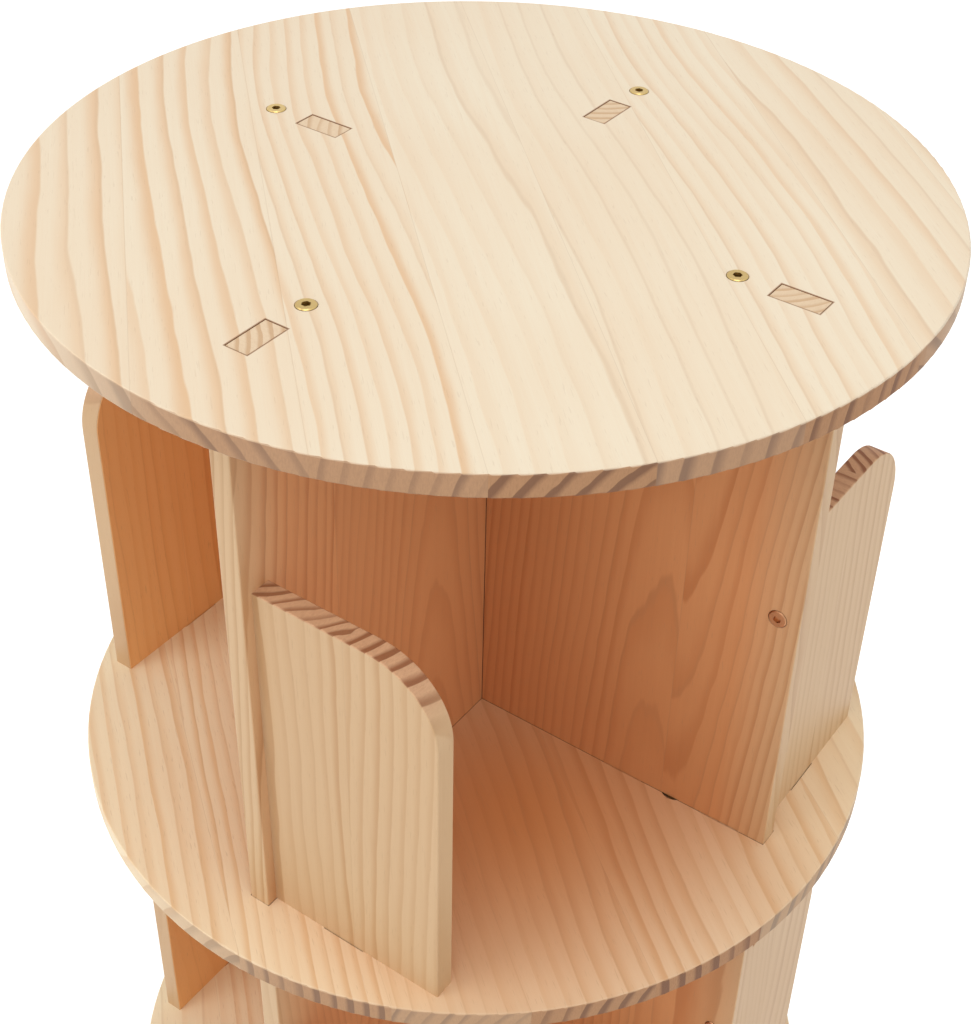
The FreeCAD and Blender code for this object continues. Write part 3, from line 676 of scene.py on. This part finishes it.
BASE_GRAIN = -120
BASE_SEED = 41.0


def dress_base():
    """Base disc below the turntable."""
    looks = dict(PINE, pale=TAN, streak=TAN_STREAK, end=(RIM_PINK, RIM_BROWN))
    turns = (0.0, 0.0, math.radians(BASE_GRAIN))
    dress_in_pine("base_disc", tuple(middle("base_disc")), turns, BASE_SEED, looks)


# Metal and moulded pieces: how their marks are laid over them
METAL_SEED = 0.3
METAL_MARK_SHARE = 0.5
METAL_STAIN = (0.3, 0.7, 0.0, 0.5)
METAL_BUMP = 0.2
METAL_RELIEF = 0.00006
RECESS_LIGHT = 0.0006
RECESS_DARK = 0.0018
MOULDED_SEED = 0.7
MOULDED_MARK_SHARE = 0.4
MOULDED_STAIN = (0.35, 0.7, 0.0, 0.4)
MOULDED_BUMP = 0.4
MOULDED_SHEEN_SPREAD = 0.08
FINE_LIMITS = (0.3, 0.7)


def metal(name, bright, shade, roughness, spread, head_top=None):
    """Plated or bare metal with a fine tumbled surface, and painted shade below a head's top, in
    its counterbore.
    """
    material, graph, shader = new_material(name)
    coordinates = graph.add("ShaderNodeTexCoord").outputs["Object"]
    marks = use_group(graph, HANDLING_MARKS, Place=coordinates, Seed=METAL_SEED)
    shaded = graph.plus(graph.times(marks["Marks"], METAL_MARK_SHARE),
                        graph.span(marks["Stain"], *METAL_STAIN))
    colour = graph.blend(shaded, bright, shade)
    if head_top is not None:
        # Painted shade on the head's side below its top
        height = graph.parts(coordinates)[2]
        recess_shade = graph.span(height, head_top - RECESS_DARK, head_top - RECESS_LIGHT, 1.0, 0.0)
        colour = graph.blend(recess_shade, colour, PAINTED_RECESS_SHADE)
    graph.join(colour, shader.inputs["Base Color"])
    rough = graph.span(marks["Fine"], *FINE_LIMITS, roughness - spread, roughness + spread)
    graph.join(rough, shader.inputs["Roughness"])
    graph.join(graph.bump(marks["Fine"], METAL_BUMP, METAL_RELIEF), shader.inputs["Normal"])
    shader.inputs["Metallic"].default_value = 1.0
    return material


def moulded(name, main, worn, roughness, relief):
    """Moulded nylon or rubber with a matt skin."""
    material, graph, shader = new_material(name)
    coordinates = graph.add("ShaderNodeTexCoord").outputs["Object"]
    marks = use_group(graph, HANDLING_MARKS, Place=coordinates, Seed=MOULDED_SEED)
    worn_share = graph.plus(graph.times(marks["Marks"], MOULDED_MARK_SHARE),
                            graph.span(marks["Stain"], *MOULDED_STAIN))
    graph.join(graph.blend(worn_share, main, worn), shader.inputs["Base Color"])
    rough = graph.span(marks["Fine"], *FINE_LIMITS, roughness - MOULDED_SHEEN_SPREAD,
                       roughness + MOULDED_SHEEN_SPREAD)
    graph.join(rough, shader.inputs["Roughness"])
    graph.join(graph.bump(marks["Fine"], MOULDED_BUMP, relief), shader.inputs["Normal"])
    return material


def dress_fasteners():
    """Yellow zinc in the discs, coppery zinc in the boards, steel below them."""
    zinc = metal("yellow_zinc", YELLOW_ZINC, ZINC_SHADE, roughness=0.32, spread=0.06)
    for disc in DISCS[:-1]:
        dress(disc + "_bolts", zinc)
    # The top bolts get painted shade below their heads' top
    head_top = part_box("top_disc_bolts")[1].z
    dress("top_disc_bolts", metal("top_bolt_zinc_painted_shade", YELLOW_ZINC, ZINC_SHADE, roughness=0.32,
                                  spread=0.06, head_top=head_top))
    copper = metal("copper_zinc", COPPER_ZINC, COPPER_SHADE, roughness=0.36, spread=0.06)
    for tier in TIERS:
        dress(tier + "_face_bolts", copper)
    steel = metal("screw_steel", SCREW_GREY, SCREW_SHADE, roughness=0.36, spread=0.07)
    for screws in ("upper_ring_screws", "lower_ring_screws", "foot_screws"):
        dress(screws, steel)


def dress_turntable():
    """Rings, balls and cage, and the feet under the base."""
    aluminium = metal("ring_aluminium", RING_ALUMINIUM, ALUMINIUM_SHADE, roughness=0.38,
                      spread=0.08)
    chrome = metal("ball_chrome", BALL_CHROME, CHROME_SHADE, roughness=0.10, spread=0.03)
    nylon = moulded("cage_nylon", CAGE_NYLON, NYLON_SHADE, roughness=0.55, relief=0.00004)
    rubber = moulded("foot_rubber", FOOT_RUBBER, RUBBER_DUST, roughness=0.72, relief=0.00012)
    dress("turntable_upper_ring", aluminium)
    dress("turntable_lower_ring", aluminium)
    dress("turntable_balls", chrome)
    dress("turntable_ball_cage", nylon)
    dress("base_feet", rubber)


# Studio
FLOOR_SIZE = 30.0
FLOOR_COLOUR = (0.84, 0.835, 0.825)
FLOOR_LIFT = 0.50
AIR_COLOUR = (1.0, 1.0, 1.0)
AIR_STRENGTH = 0.69
AIR_SEEN = 1.0
KEY_PLACE = (1.0, -1.5, 3.8)
KEY_SIZE = 2.2
KEY_POWER = 30.0
LEFT_PLACE = (-1.4, -2.7, 2.4)
LEFT_SIZE = 2.0
LEFT_POWER = 34.0
RIGHT_PLACE = (2.5, -0.3, 2.2)
RIGHT_SIZE = 2.0
RIGHT_POWER = 10.0
LAMP_AIM = (0.0, 0.0, 0.75)


def seen_plainly(graph):
    """One for what the camera, a reflection or a glass surface sees."""
    path = graph.add("ShaderNodeLightPath")
    both = graph.plus(path.outputs["Is Camera Ray"], path.outputs["Is Glossy Ray"])
    return graph.math("ADD", both, path.outputs["Is Transmission Ray"], clamp=True)


def lay_floor():
    """A pale floor that looks white and keeps the bookcase's shadow."""
    bpy.ops.object.select_all(action="DESELECT")
    bpy.ops.mesh.primitive_plane_add(size=FLOOR_SIZE, location=(0.0, 0.0, 0.0))
    floor = bpy.context.object
    floor.name = "studio_floor"
    material = bpy.data.materials.new("white_floor")
    material.use_nodes = True
    graph = Graph(material.node_tree)
    graph.tree.nodes.clear()
    paint = graph.add("ShaderNodeBsdfDiffuse")
    paint.inputs["Color"].default_value = FLOOR_COLOUR + (1.0,)
    lift = graph.add("ShaderNodeEmission")
    graph.join(graph.times(seen_plainly(graph), FLOOR_LIFT), lift.inputs["Strength"])
    both = graph.add("ShaderNodeAddShader")
    graph.join(paint.outputs[0], both.inputs[0])
    graph.join(lift.outputs[0], both.inputs[1])
    leave = graph.add("ShaderNodeOutputMaterial")
    graph.join(both.outputs[0], leave.inputs["Surface"])
    floor.data.materials.append(material)


def light_air():
    """White air that lights a little less than it shows."""
    world = bpy.data.worlds.new("studio_air")
    world.use_nodes = True
    bpy.context.scene.world = world
    graph = Graph(world.node_tree)
    graph.tree.nodes.clear()
    air = graph.add("ShaderNodeBackground")
    air.inputs["Color"].default_value = AIR_COLOUR + (1.0,)
    strength = graph.span(seen_plainly(graph), 0.0, 1.0, AIR_STRENGTH, AIR_SEEN)
    graph.join(strength, air.inputs["Strength"])
    leave = graph.add("ShaderNodeOutputWorld")
    graph.join(air.outputs[0], leave.inputs["Surface"])


def add_softbox(name, place, size, power):
    aim = (Vector(LAMP_AIM) - Vector(place)).to_track_quat("-Z", "Y")
    bpy.ops.object.light_add(type="AREA", location=place, rotation=aim.to_euler())
    lamp = bpy.context.object
    lamp.name = name
    lamp.data.shape = "SQUARE"
    lamp.data.size = size
    lamp.data.energy = power


# Camera, as the photograph was taken: degrees and millimetres of lens
CAMERA_PLACE = (0.43386, -0.61920, 1.46140)
CAMERA_HEADING = 122.981
CAMERA_PITCH = 37.011
CAMERA_ROLL = 2.498
CAMERA_LENS = 61.27
CAMERA_SHIFT = (-0.0464, -0.0472)
CAMERA_NEAR = 0.02


def set_camera():
    bpy.ops.object.camera_add(location=CAMERA_PLACE)
    camera = bpy.context.object
    camera.name = "photo_camera"
    heading = Matrix.Rotation(math.radians(CAMERA_HEADING - 90), 3, "Z")
    pitch = Matrix.Rotation(math.radians(90 - CAMERA_PITCH), 3, "X")
    roll = Matrix.Rotation(math.radians(CAMERA_ROLL), 3, "Z")
    camera.rotation_euler = (heading @ pitch @ roll).to_euler()
    camera.data.lens = CAMERA_LENS
    camera.data.shift_x, camera.data.shift_y = CAMERA_SHIFT
    camera.data.clip_start = CAMERA_NEAR
    bpy.context.scene.camera = camera


dress_discs()
dress_boards()
dress_panels()
dress_base()
dress_fasteners()
dress_turntable()
lay_floor()
light_air()
add_softbox("key_softbox", KEY_PLACE, KEY_SIZE, KEY_POWER)
add_softbox("left_softbox", LEFT_PLACE, LEFT_SIZE, LEFT_POWER)
add_softbox("right_softbox", RIGHT_PLACE, RIGHT_SIZE, RIGHT_POWER)
set_camera()
bpy.context.scene.view_settings.view_transform = "Standard"
